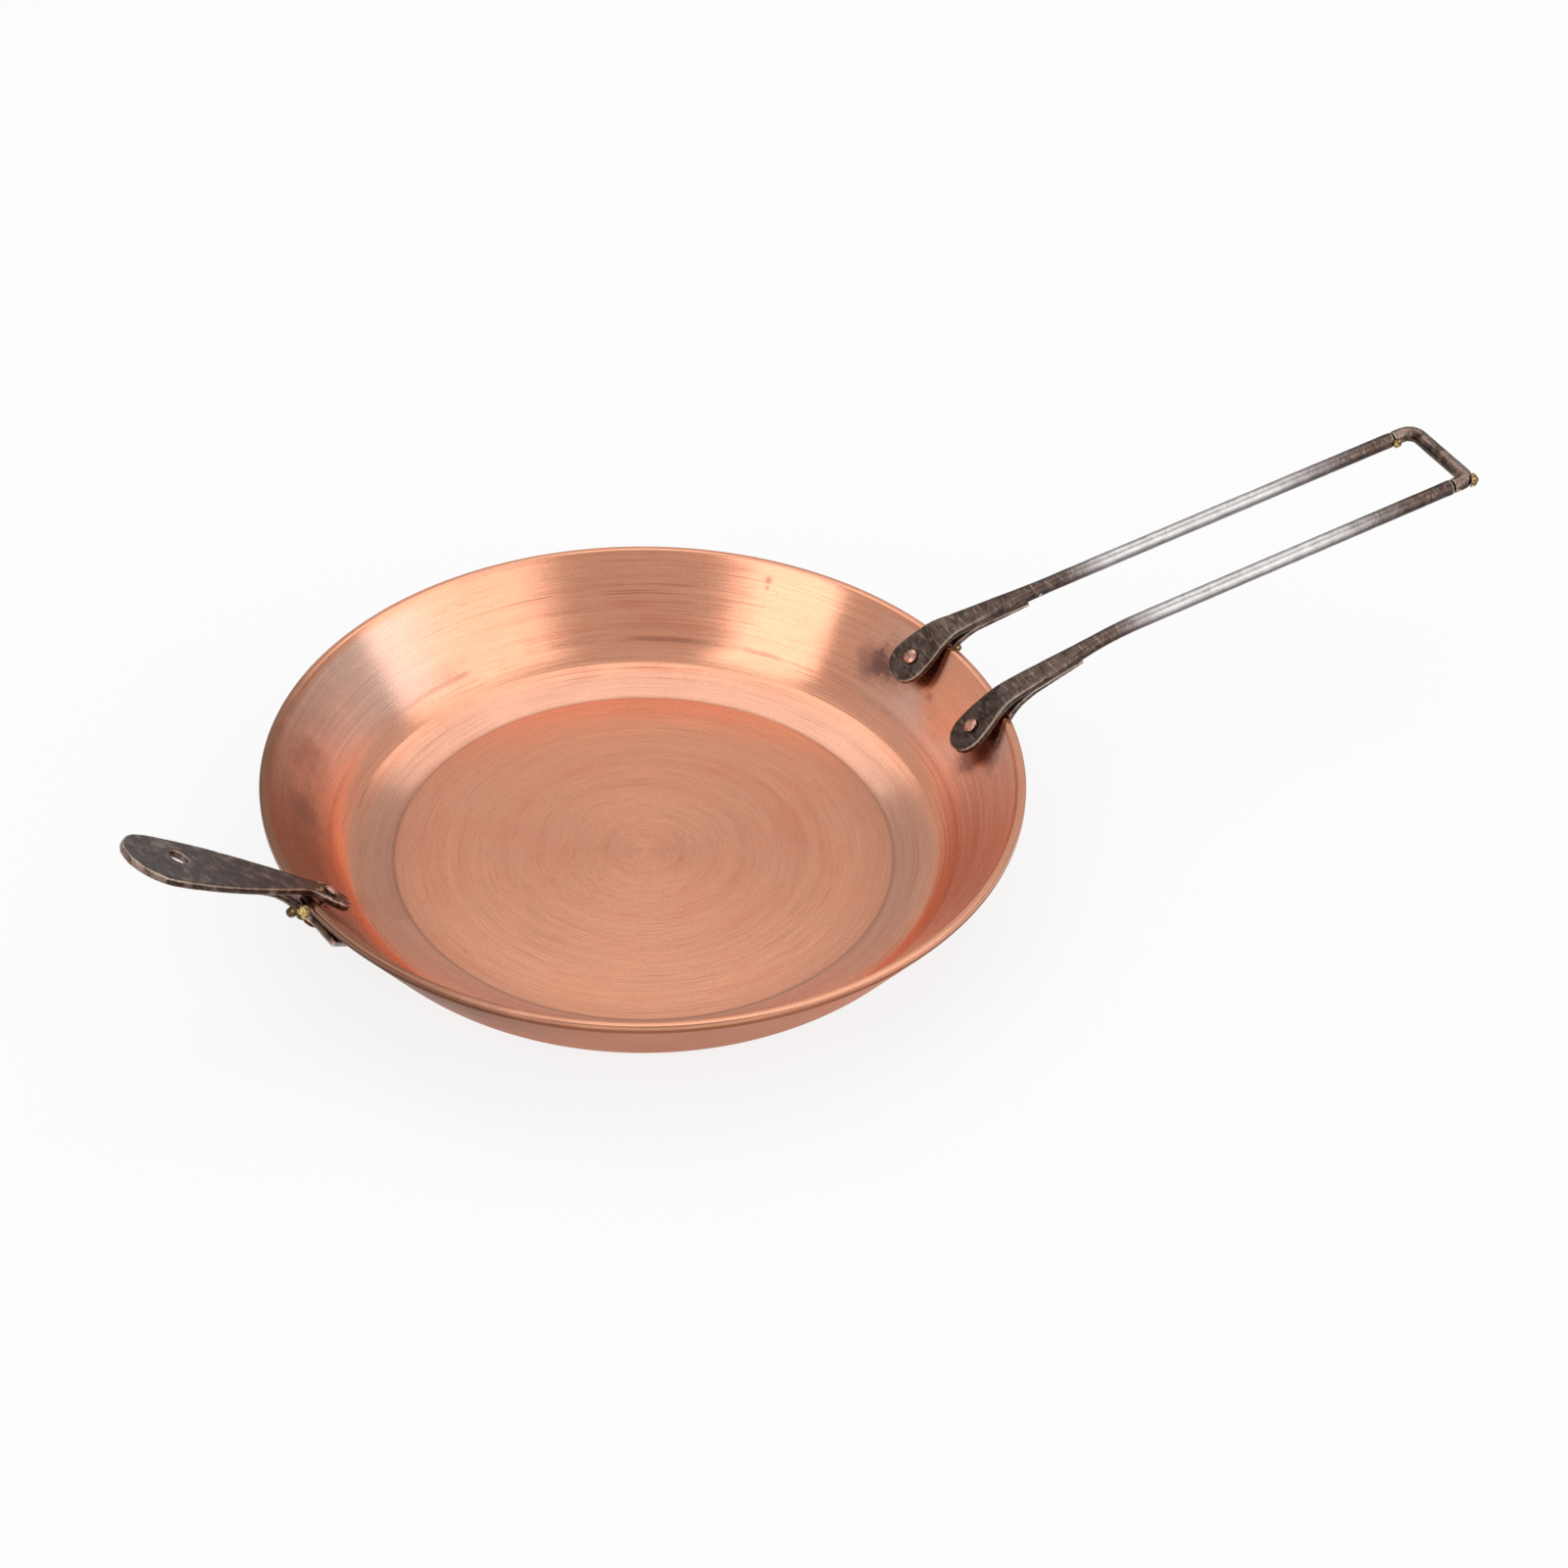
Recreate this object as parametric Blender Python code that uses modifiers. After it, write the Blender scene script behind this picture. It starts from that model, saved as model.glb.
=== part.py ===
"""A small spun copper frying pan with a riveted rod handle and a helper tab.

Units are metres and +Z is up. The origin is the centre of the pan's flat underside, and +X points
along the long handle. Left and right are those of a cook who holds that handle.
"""
import math

import bmesh
import bpy
from mathutils import Matrix, Vector
from mathutils.geometry import intersect_line_plane

# Pan, spun from one sheet of copper
RIM_RADIUS = 0.074
PAN_HEIGHT = 0.0233
SHEET = 0.002
FLOOR_RADIUS = 0.0493
CORNER_RADIUS = 0.017      # outer face of the round corner between floor and wall
RIM_CUT = 0.0015           # height of the upright cut face at the rim
RIM_EASE = 0.0003          # rounding of the rim's edges

# Gap between pieces that touch
GAP = 0.0003

# Long handle
ROD_DIAMETER = 0.0033
ROD_SPACING = 0.0202       # centre to centre along the grip
NECK_LENGTH = 0.0256       # rim to the bend where the grip begins
NECK_RISE = 0.0085         # bend above the rim
NECK_SPLAY = 0.0021        # how far each leaf stands outside its rod at the rim
NECK_BEND = 0.006          # half length of the bend between neck and grip
GRIP_LENGTH = 0.0854       # bend to the outer face of the bow
GRIP_RISE = 0.0130         # bow above the bend
LEAF_THICKNESS = 0.0015
LEAF_LENGTH = 0.014        # fold at the rim to the leaf's round end
LEAF_WIDTH = 0.0093
LEAF_NECK = 0.0055         # width where the leaf crosses the rim
LEAF_LIFT = math.radians(11.0)   # how much flatter than the wall the leaves lie
LEAF_FOLD = 0.0024         # half length of the fold over the rim
LEAF_ROOM = 0.0003         # extra height at the fold, so that the leaf's edges clear the round rim
LEAF_RIVET = 0.0058        # leaf's end to its rivet

# Bow at the handle's end
BOW_BEND = 0.0028          # centre-line radius of the rounded corner
BOW_CORNER = 0.00175       # centre-line radius of the sharp corner
BOW_LEG = 0.0022           # straight stretch between each corner and its joint

# Straps on the outside of the wall
STRAP_THICKNESS = 0.0014
STRAP_WIDTH = 0.006
STRAP_NECK = 0.0044
STRAP_TIP = 0.0024         # width of the end that is brazed under the rod
STRAP_TIP_THICKNESS = 0.0008
STRAP_REACH = 0.0155       # fold to that end
STRAP_TAIL = 0.0028        # rivet to the lower end on the wall
STRAP_FOLD = 0.004

# Helper tab
HELPER_REACH = 0.0328      # rim to the tip, level
HELPER_SLOPE = math.radians(33.5)
HELPER_TURN = math.radians(6.3)     # how far round the rim the tab is off the point opposite the handle
HELPER_THICKNESS = 0.0016
HELPER_WIDTH = 0.0152
HELPER_NECK = 0.0046
HELPER_LEAF_LENGTH = 0.0115
HELPER_LEAF_WIDTH = 0.0074
HELPER_LEAF_RIVET = 0.0048
HOLE_DIAMETER = 0.0038
HOLE_FROM_TIP = 0.0122
HOLE_OFFSET = 0.0014       # the punched hole lies off the tab's centre line
HELPER_STRAP_REACH = 0.005
HELPER_STRAP_TAIL = 0.009
HELPER_STRAP_NECK = 0.0034
HELPER_STRAP_WIDTH = 0.020        # across the shoulders of its spade-shaped foot
HELPER_STRAP_POINT = 0.006
HELPER_SHOULDER_DROP = 0.0020     # where it begins to widen, below the rim's cut face
HELPER_SHOULDER = 0.0018          # stretch over which the strap widens to them

# Rivets
SHANK_DIAMETER = 0.0018
RIVET_DIAMETER = 0.0032
RIVET_DOME = 0.0006

# Brazing
END_BEAD = 0.0012
CORNER_BEAD = 0.0016
STRAP_BEAD = 0.0008
HELPER_BEAD = 0.0016
HELPER_BEAD_RISE = 0.0002  # middle of that bead above the rim
SECOND_DROP = 0.75         # its second drop, as a share of the first
SECOND_DROP_SHIFT = (-1.3, 0.1, 0.5)     # from the first drop to the second, in radii of the first

# Fineness of the surfaces
PAN_STEPS = 84
ARC_POINTS = 7
BEND_POINTS = 6
SECTION_POINTS = 3         # per quarter of a section
RIVET_STEPS = 18
FOLD_STEP = 0.001          # longest stretch between two sections of a fold
LEAF_STEP = 0.0025
SHOULDER_STEPS = 5
BEND_STEP = 0.003
BAR_STEP = 0.005
ROUND_END_ANGLES = (14.0, 34.0, 54.0, 72.0)    # degrees at which a round end is cut into sections
HEADING_REACH = 0.0002     # a line's direction is taken over twice this length

UP = Vector((0.0, 0.0, 1.0))


def spun_wall_angle():
    """Slope of the wall that leaves the corner's arc and ends at the cut face of the rim."""
    run = RIM_RADIUS - FLOOR_RADIUS
    rise = PAN_HEIGHT - RIM_CUT - CORNER_RADIUS
    return math.atan2(rise, run) + math.asin(CORNER_RADIUS / math.hypot(run, rise))


WALL_ANGLE = spun_wall_angle()
LEAF_DIP = WALL_ANGLE - LEAF_LIFT
LAND_WIDTH = (SHEET - RIM_CUT * math.cos(WALL_ANGLE)) / math.sin(WALL_ANGLE)


def ease(share):
    """Smooth step from 0 to 1."""
    share = min(max(share, 0.0), 1.0)
    return share * share * (3.0 - 2.0 * share)


def blend(start, end, share):
    return start + (end - start) * share


def radial(azimuth):
    return Vector((math.cos(azimuth), math.sin(azimuth), 0.0))


def azimuth_of(place):
    return math.atan2(place.y, place.x)


def wall_normal(azimuth, slope):
    """Outward normal of a wall that climbs outward at the given slope."""
    return radial(azimuth) * math.sin(slope) - UP * math.cos(slope)


def rim_edge(azimuth):
    """Lower edge of the rim's cut face, where the outer face of the wall begins."""
    return radial(azimuth) * RIM_RADIUS + UP * (PAN_HEIGHT - RIM_CUT)


class Route:
    """A line through corners, each rounded by an arc with its own set-back."""

    def __init__(self, corners, setbacks):
        self.points = [corners[0]]
        for before, corner, after, setback in zip(corners, corners[1:], corners[2:], setbacks):
            self.add_arc(before, corner, after, setback)
        self.points.append(corners[-1])
        self.lengths = [0.0]
        for first, second in zip(self.points, self.points[1:]):
            self.lengths.append(self.lengths[-1] + (second - first).length)

    def add_arc(self, before, corner, after, setback):
        towards_start = (before - corner).normalized()
        towards_end = (after - corner).normalized()
        half = towards_start.angle(towards_end) / 2.0
        inward = (towards_start + towards_end).normalized()
        centre = corner + inward * (setback / math.cos(half))
        first = corner + towards_start * setback - centre
        last = corner + towards_end * setback - centre
        for step in range(BEND_POINTS + 1):
            spoke = first.slerp(last, step / BEND_POINTS).normalized()
            self.points.append(centre + spoke * first.length)

    @property
    def total(self):
        return self.lengths[-1]

    def place(self, length):
        """Point of the line at a length from its start."""
        for index, reached in enumerate(self.lengths[1:]):
            if length <= reached:
                span = reached - self.lengths[index]
                share = (length - self.lengths[index]) / span
                return self.points[index].lerp(self.points[index + 1], share)
        return self.points[-1].copy()

    def heading(self, length):
        """Direction of the line at a length from its start."""
        start = self.place(max(length - HEADING_REACH, 0.0))
        end = self.place(min(length + HEADING_REACH, self.total))
        return (end - start).normalized()


def new_material(name, color, metallic, roughness):
    material = bpy.data.materials.new(name)
    material.use_nodes = True
    shader = material.node_tree.nodes["Principled BSDF"]
    shader.inputs["Base Color"].default_value = (*color, 1.0)
    shader.inputs["Metallic"].default_value = metallic
    shader.inputs["Roughness"].default_value = roughness
    material.diffuse_color = (*color, 1.0)
    return material


def new_collection(name):
    collection = bpy.data.collections.new(name)
    bpy.context.scene.collection.children.link(collection)
    return collection


def add_object(name, data, collection, material=None):
    piece = bpy.data.objects.new(name, data)
    collection.objects.link(piece)
    if material:
        data.materials.append(material)
    return piece


def finish_mesh(mesh):
    """Shade round faces smooth and keep the real edges sharp."""
    mesh.shade_smooth()
    mesh.set_sharp_from_angle(angle=math.radians(35.0))


def arc(centre_x, centre_z, radius, start, end, points):
    """Points of an arc in the XZ plane, both ends included."""
    places = []
    for step in range(points):
        angle = blend(start, end, step / (points - 1))
        x = centre_x + radius * math.cos(angle)
        z = centre_z + radius * math.sin(angle)
        places.append((x, z))
    return places


def turned(name, outline, steps, collection, material):
    """A solid of revolution about Z from a closed outline of (radius, height)."""
    mesh = bpy.data.meshes.new(name)
    vertices = [(x, 0.0, z) for x, z in outline]
    edges = [(index, index + 1) for index in range(len(outline) - 1)]
    mesh.from_pydata(vertices, edges, [])
    piece = add_object(name, mesh, collection, material)
    screw = piece.modifiers.new("turn", "SCREW")
    screw.axis = "Z"
    screw.steps = steps
    screw.render_steps = steps
    screw.use_merge_vertices = True
    screw.merge_threshold = 0.00001
    screw.use_smooth_shade = True
    return piece


def applied(piece):
    """The object with its modifiers made part of its mesh, welded into one body."""
    depsgraph = bpy.context.evaluated_depsgraph_get()
    mesh = bpy.data.meshes.new_from_object(piece.evaluated_get(depsgraph))
    work = bmesh.new()
    work.from_mesh(mesh)
    bmesh.ops.remove_doubles(work, verts=work.verts, dist=0.000001)
    bmesh.ops.recalc_face_normals(work, faces=work.faces)
    work.to_mesh(mesh)
    work.free()
    name = piece.name
    collection = piece.users_collection[0]
    place = piece.matrix_world.copy()
    bpy.data.objects.remove(piece)
    solid = add_object(name, mesh, collection)
    solid.matrix_world = place
    finish_mesh(mesh)
    return solid


def section(half_width, half_depth, corner):
    """Points (side, up) of a bar's section, from round rod to flat leaf with rounded edges."""
    corner = min(corner, half_width, half_depth)
    points = []
    for quarter in range(4):
        side_sign = 1 if quarter in (0, 3) else -1
        up_sign = 1 if quarter in (0, 1) else -1
        for step in range(SECTION_POINTS):
            angle = (quarter + (step + 0.5) / SECTION_POINTS) * math.pi / 2.0
            side = side_sign * (half_width - corner) + corner * math.cos(angle)
            up = up_sign * (half_depth - corner) + corner * math.sin(angle)
            points.append((side, up))
    return points


def loft(name, route, lengths, shape_at, face_at, collection, material):
    """A forged bar along a route, whose section and upper face change along it."""
    work = bmesh.new()
    rings = []
    for length in lengths:
        heading = route.heading(length)
        face = face_at(length)
        face = (face - heading * face.dot(heading)).normalized()
        side = heading.cross(face)
        centre = route.place(length)
        ring = [work.verts.new(centre + side * x + face * z) for x, z in section(*shape_at(length))]
        rings.append(ring)
    for first, second in zip(rings, rings[1:]):
        for index in range(len(first)):
            following = (index + 1) % len(first)
            work.faces.new((first[index], first[following], second[following], second[index]))
    work.faces.new(rings[0])
    work.faces.new(rings[-1])
    bmesh.ops.recalc_face_normals(work, faces=work.faces)
    mesh = bpy.data.meshes.new(name)
    work.to_mesh(mesh)
    work.free()
    finish_mesh(mesh)
    return add_object(name, mesh, collection, material)


def cylinder_cutter(name, place, axis, radius, length, collection):
    """A round cutter with its middle at a place, along an axis."""
    work = bmesh.new()
    turn = axis.to_track_quat("Z", "Y").to_matrix().to_4x4()
    bmesh.ops.create_cone(
        work, cap_ends=True, segments=RIVET_STEPS, radius1=radius, radius2=radius, depth=length,
        matrix=Matrix.Translation(place) @ turn,
    )
    mesh = bpy.data.meshes.new(name)
    work.to_mesh(mesh)
    work.free()
    return hide_cutter(add_object(name, mesh, collection))


def hide_cutter(cutter):
    cutter.hide_render = True
    cutter.display_type = "WIRE"
    return cutter


def combine(piece, other, operation):
    modifier = piece.modifiers.new(operation.lower(), "BOOLEAN")
    modifier.operation = operation
    modifier.solver = "EXACT"
    modifier.object = other


def steps_between(start, end, longest):
    """Lengths from start to end, both included, in equal steps no longer than the longest."""
    count = max(1, math.ceil((end - start) / longest))
    return [blend(start, end, step / count) for step in range(count + 1)]


def round_end_lengths(radius):
    """Lengths at which a round end is cut into sections, close together where it curves most."""
    return [radius * (1.0 - math.cos(math.radians(degrees))) for degrees in ROUND_END_ANGLES]


def round_end_width(length, radius):
    """Half width of a round end at a length from its tip."""
    return math.sqrt(max(radius * radius - (radius - min(length, radius)) ** 2, 0.0))


def make_pan(collection, material):
    """The spun body: cut rim, flared wall, round corner and flat floor."""
    wall_end = -math.pi / 2.0 + WALL_ANGLE
    inner_top = RIM_RADIUS - LAND_WIDTH
    outline = [
        (inner_top + RIM_EASE, PAN_HEIGHT),
        (RIM_RADIUS - RIM_EASE, PAN_HEIGHT),
        (RIM_RADIUS, PAN_HEIGHT - RIM_EASE),
        (RIM_RADIUS, PAN_HEIGHT - RIM_CUT),
    ]
    corner = (FLOOR_RADIUS, CORNER_RADIUS)
    outline += arc(*corner, CORNER_RADIUS, wall_end, -math.pi / 2.0, ARC_POINTS)
    outline += [(0.0, 0.0), (0.0, SHEET)]
    outline += arc(*corner, CORNER_RADIUS - SHEET, -math.pi / 2.0, wall_end, ARC_POINTS)
    outline.append((inner_top - RIM_EASE * math.cos(WALL_ANGLE),
                    PAN_HEIGHT - RIM_EASE * math.sin(WALL_ANGLE)))
    outline.append(outline[0])
    return turned("pan_body", outline, PAN_STEPS, collection, material)


class Seat:
    """Where a leaf folds over the rim and lies down the inside of the wall, with its rivet.

    start is the outer end of the neck and fold_plan the level place of the fold.
    """

    def __init__(self, start, fold_plan, thickness, length, rivet_length):
        fold_height = PAN_HEIGHT + GAP + thickness / 2.0 / math.cos(LEAF_DIP)
        fold_height += LEAF_FOLD * math.tan(LEAF_DIP / 4.0) + LEAF_ROOM
        self.start = start
        self.fold = fold_plan + UP * fold_height
        inward = self.fold - start
        inward.z = 0.0
        self.across = UP.cross(inward.normalized())
        self.thickness = thickness
        self.azimuth = azimuth_of(fold_plan)
        self.leaf_face = -wall_normal(self.azimuth, LEAF_DIP)
        self.end = self.fold + self.down(self.leaf_face) * length
        self.rivet_place = self.end.lerp(self.fold, rivet_length / length)
        self.azimuth = azimuth_of(self.rivet_place)
        self.leaf_face = -wall_normal(self.azimuth, LEAF_DIP)
        self.end = self.fold + self.down(self.leaf_face) * length
        self.rivet_place = self.end.lerp(self.fold, rivet_length / length)
        self.axis = self.leaf_face

    def down(self, normal):
        """Direction down a sloping face, in the upright plane of the neck."""
        direction = self.across.cross(normal).normalized()
        return direction if direction.z < 0.0 else -direction

    def strap_route(self, neck_growth, tip_thickness, reach, tail):
        """Line of the outer strap: along under the neck, then down the outside of the wall.

        neck_growth is how much deeper the neck's underside gets for each unit of its length, and
        tail is how far the strap runs on past its rivet.
        """
        neck = (self.start - self.fold).normalized()
        below = neck.cross(self.across).normalized()
        below = below if below.z < 0.0 else -below
        offset = GAP + STRAP_THICKNESS / 2.0
        face = wall_normal(self.azimuth, WALL_ANGLE)
        plane = rim_edge(self.azimuth) + face * offset
        line = self.fold + below * (self.thickness / 2.0 + offset)
        outward = neck + below * neck_growth
        fold = intersect_line_plane(line, line + outward, plane, face)
        start = fold + outward * reach - below * (STRAP_THICKNESS - tip_thickness) / 2.0
        rivet = intersect_line_plane(self.rivet_place, self.rivet_place + self.axis, plane, face)
        down = (rivet - fold).normalized()
        self.strap_rim_at = reach + (plane - fold).dot(down)
        end = rivet + down * tail
        return Route([start, fold, end], [STRAP_FOLD])


def fold_face(route_length, flat_from, neck_from, leaf_face):
    """Upper face of a leaf: on the wall's slope at its end, and level beyond the fold."""
    share = ease((route_length - flat_from) / (neck_from - flat_from))
    return leaf_face.lerp(UP, share)


def make_rod(name, side, bow, collection, material):
    """One rod of the handle, forged flat at the rim. side is -1 for left and 1 for right."""
    bend = Vector((RIM_RADIUS + NECK_LENGTH, side * ROD_SPACING / 2.0, PAN_HEIGHT + NECK_RISE))
    fold_y = side * (ROD_SPACING / 2.0 + NECK_SPLAY)
    fold_radius = RIM_RADIUS - LAND_WIDTH / 2.0
    fold_plan = Vector((math.sqrt(fold_radius ** 2 - fold_y ** 2), fold_y, 0.0))
    seat = Seat(bend, fold_plan, LEAF_THICKNESS, LEAF_LENGTH, LEAF_RIVET)
    route = Route([seat.end, seat.fold, bend, bow.rod_end(side)], [LEAF_FOLD, NECK_BEND])
    leaf_radius = LEAF_WIDTH / 2.0
    neck_end = LEAF_LENGTH + (bend - seat.fold).length
    rod_radius = ROD_DIAMETER / 2.0

    def shape_at(length):
        width = blend(leaf_radius, LEAF_NECK / 2.0, ease((length - leaf_radius) / LEAF_LENGTH))
        width = min(width, round_end_width(length, leaf_radius)) if length < leaf_radius else width
        share = min(max((length - LEAF_LENGTH) / (neck_end - LEAF_LENGTH), 0.0), 1.0)
        if share > 0.0:
            width = blend(width, rod_radius, ease(share))
        depth = blend(LEAF_THICKNESS / 2.0, rod_radius, share)
        corner = blend(LEAF_THICKNESS / 4.0, rod_radius, ease(share))
        return width, depth, corner

    def face_at(length):
        return fold_face(length, LEAF_LENGTH - LEAF_FOLD, LEAF_LENGTH + 2.0 * LEAF_FOLD, seat.leaf_face)

    fold_start = LEAF_LENGTH - LEAF_FOLD
    lengths = round_end_lengths(leaf_radius)
    lengths += steps_between(leaf_radius, fold_start, LEAF_STEP)
    lengths += steps_between(fold_start, LEAF_LENGTH + LEAF_FOLD, FOLD_STEP)[1:]
    lengths += steps_between(LEAF_LENGTH + LEAF_FOLD, neck_end - NECK_BEND, BAR_STEP)[1:]
    lengths += steps_between(neck_end - NECK_BEND, neck_end + NECK_BEND, BEND_STEP)[1:]
    lengths.append(route.total)
    return loft(name, route, lengths, shape_at, face_at, collection, material), seat


def make_strap(name, route, widths, thicknesses, azimuth, fold_at, shoulder, collection, material):
    """An outer strap, whose widths are those of its start, its fold, its shoulders and its end.

    thicknesses are those of its start and its fold. shoulder is where the strap begins to widen
    and where it is at its widest, as lengths from its start.
    """
    inward = -wall_normal(azimuth, WALL_ANGLE)

    def shape_at(length):
        if length < fold_at:
            share = length / fold_at
            width = blend(widths[0], widths[1], share)
            depth = blend(thicknesses[0], thicknesses[1], share)
        else:
            share = ease((length - shoulder[0]) / (shoulder[1] - shoulder[0]))
            width = blend(widths[1], widths[2], share)
            if length > shoulder[1]:
                share = (length - shoulder[1]) / (route.total - shoulder[1])
                width = blend(widths[2], widths[3], share)
            depth = thicknesses[1]
        return width / 2.0, depth / 2.0, depth / 4.0

    def face_at(length):
        share = ease((length - fold_at + STRAP_FOLD) / (2.0 * STRAP_FOLD))
        return UP.lerp(inward, share)

    lengths = steps_between(0.0, fold_at - STRAP_FOLD, BAR_STEP)
    lengths += steps_between(fold_at - STRAP_FOLD, shoulder[0], FOLD_STEP)[1:]
    lengths += steps_between(*shoulder, (shoulder[1] - shoulder[0]) / SHOULDER_STEPS)[1:]
    if shoulder[1] < route.total:
        lengths += steps_between(shoulder[1], route.total, LEAF_STEP)[1:]
    return loft(name, route, lengths, shape_at, face_at, collection, material)


class Bow:
    """The crossbar that joins the rods, in the sloping plane of the grip."""

    def __init__(self):
        far_x = RIM_RADIUS + NECK_LENGTH + GRIP_LENGTH - ROD_DIAMETER / 2.0
        height = PAN_HEIGHT + NECK_RISE + GRIP_RISE
        grip = Vector((far_x - RIM_RADIUS - NECK_LENGTH, 0.0, GRIP_RISE))
        self.along = grip.normalized()
        half = ROD_SPACING / 2.0
        self.corners = {side: Vector((far_x, side * half, height)) for side in (-1, 1)}
        self.radii = {-1: BOW_CORNER, 1: BOW_BEND}

    def joint(self, side):
        """Middle of the bow's end face."""
        return self.corners[side] - self.along * (self.radii[side] + BOW_LEG)

    def rod_end(self, side):
        """Middle of the rod's end face, a gap short of the bow."""
        return self.joint(side) - self.along * GAP

    def wire(self, name, start, end, radius, collection):
        """A round wire through both corners, from one place to another."""
        route = Route([start, self.corners[1], self.corners[-1], end], [BOW_BEND, BOW_CORNER])
        curve = bpy.data.curves.new(name, "CURVE")
        curve.dimensions = "3D"
        curve.bevel_depth = radius
        curve.bevel_resolution = 4
        curve.use_fill_caps = True
        spline = curve.splines.new("POLY")
        spline.points.add(len(route.points) - 1)
        for point, place in zip(spline.points, route.points):
            point.co = (*place, 1.0)
        return applied(add_object(name, curve, collection))


def rivet_head(seat_height, outward):
    """Outline of a low domed head from its middle to its edge. outward is 1 for up, -1 for down."""
    radius = RIVET_DIAMETER / 2.0
    shares = ((0.0, 1.0), (0.6, 0.8), (1.0, 0.2), (1.0, 0.0))
    return [(radius * x, seat_height + outward * RIVET_DOME * z) for x, z in shares]


def make_rivet(name, seat, leaf_thickness, collection, material):
    """A copper rivet: low dome on the leaf, shank through the wall, low dome on the strap."""
    outer = intersect_line_plane(
        seat.rivet_place, seat.rivet_place + seat.axis, rim_edge(seat.azimuth),
        wall_normal(seat.azimuth, WALL_ANGLE))
    tilt_room = RIVET_DIAMETER / 2.0 * math.tan(LEAF_LIFT)
    high = (seat.rivet_place - outer).length + leaf_thickness / 2.0 + GAP
    low = -((STRAP_THICKNESS + GAP + GAP) / math.cos(LEAF_LIFT) + tilt_room)
    shank = [(SHANK_DIAMETER / 2.0, high), (SHANK_DIAMETER / 2.0, low)]
    outline = rivet_head(high, 1) + shank + rivet_head(low, -1)[::-1]
    rivet = turned(name, outline, RIVET_STEPS, collection, material)
    rivet.location = outer
    rivet.rotation_euler = seat.axis.to_track_quat("Z", "Y").to_euler()
    return rivet


def rivet_hole(name, seat, pieces, collection):
    """One drilled hole through the leaf, the wall and the strap."""
    radius = SHANK_DIAMETER / 2.0 + GAP
    length = 4.0 * (SHEET + LEAF_THICKNESS + STRAP_THICKNESS)
    cutter = cylinder_cutter(name, seat.rivet_place, seat.axis, radius, length, collection)
    for piece in pieces:
        combine(piece, cutter, "DIFFERENCE")
    return cutter


def make_bead(name, drops, collection, material):
    """A bead of brass from one or more rounded drops, each a place and its three radii."""
    beads = []
    for index, (place, radii) in enumerate(drops):
        work = bmesh.new()
        shape = Matrix.Translation(place) @ Matrix.Diagonal((*radii, 1.0))
        bmesh.ops.create_uvsphere(work, u_segments=12, v_segments=8, radius=1.0, matrix=shape)
        mesh = bpy.data.meshes.new(name)
        work.to_mesh(mesh)
        work.free()
        finish_mesh(mesh)
        beads.append(add_object(name if index == 0 else name + "_drop", mesh, collection))
    bead = beads[0]
    bead.data.materials.append(material)
    for other in beads[1:]:
        combine(bead, other, "UNION")
        bead = applied(bead)
        bpy.data.objects.remove(other)
    return bead


def make_helper(collection, material):
    """The helper tab: teardrop plate with a hanging hole, neck over the rim and inner leaf."""
    fold_plan = Vector((LAND_WIDTH / 2.0 - RIM_RADIUS, 0.0, 0.0))
    tip_reach = HELPER_REACH + LAND_WIDTH / 2.0
    guess = Seat(fold_plan + Vector((-tip_reach, 0.0, 0.0)), fold_plan,
                 HELPER_THICKNESS, HELPER_LEAF_LENGTH, HELPER_LEAF_RIVET)
    tip = guess.fold + Vector((-tip_reach, 0.0, tip_reach * math.tan(HELPER_SLOPE)))
    seat = Seat(tip, fold_plan, HELPER_THICKNESS, HELPER_LEAF_LENGTH, HELPER_LEAF_RIVET)
    route = Route([seat.end, seat.fold, tip], [LEAF_FOLD])
    leaf_radius = HELPER_LEAF_WIDTH / 2.0
    tip_radius = HELPER_WIDTH / 2.0

    def shape_at(length):
        from_tip = route.total - length
        if length < HELPER_LEAF_LENGTH:
            share = ease((length - leaf_radius) / (HELPER_LEAF_LENGTH - leaf_radius))
            width = min(blend(leaf_radius, HELPER_NECK / 2.0, share),
                        round_end_width(length, leaf_radius))
        else:
            plate = route.total - HELPER_LEAF_LENGTH - tip_radius
            share = min((length - HELPER_LEAF_LENGTH) / plate, 1.0)
            width = blend(HELPER_NECK / 2.0, tip_radius, math.sin(share * math.pi / 2.0))
            width = min(width, round_end_width(from_tip, tip_radius))
        return width, HELPER_THICKNESS / 2.0, HELPER_THICKNESS / 4.0

    def face_at(length):
        flat_from = HELPER_LEAF_LENGTH - LEAF_FOLD
        return fold_face(length, flat_from, HELPER_LEAF_LENGTH + LEAF_FOLD, seat.leaf_face)

    lengths = round_end_lengths(leaf_radius)
    fold_start = HELPER_LEAF_LENGTH - LEAF_FOLD
    fold_end = HELPER_LEAF_LENGTH + LEAF_FOLD
    lengths += steps_between(leaf_radius, fold_start, LEAF_STEP)
    lengths += steps_between(fold_start, fold_end, FOLD_STEP)[1:]
    lengths += steps_between(fold_end, route.total - tip_radius, LEAF_STEP)[1:]
    lengths += [route.total - length for length in reversed(round_end_lengths(tip_radius))]
    tab = loft("helper_tab", route, lengths, shape_at, face_at, collection, material)
    return tab, seat, route


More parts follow.
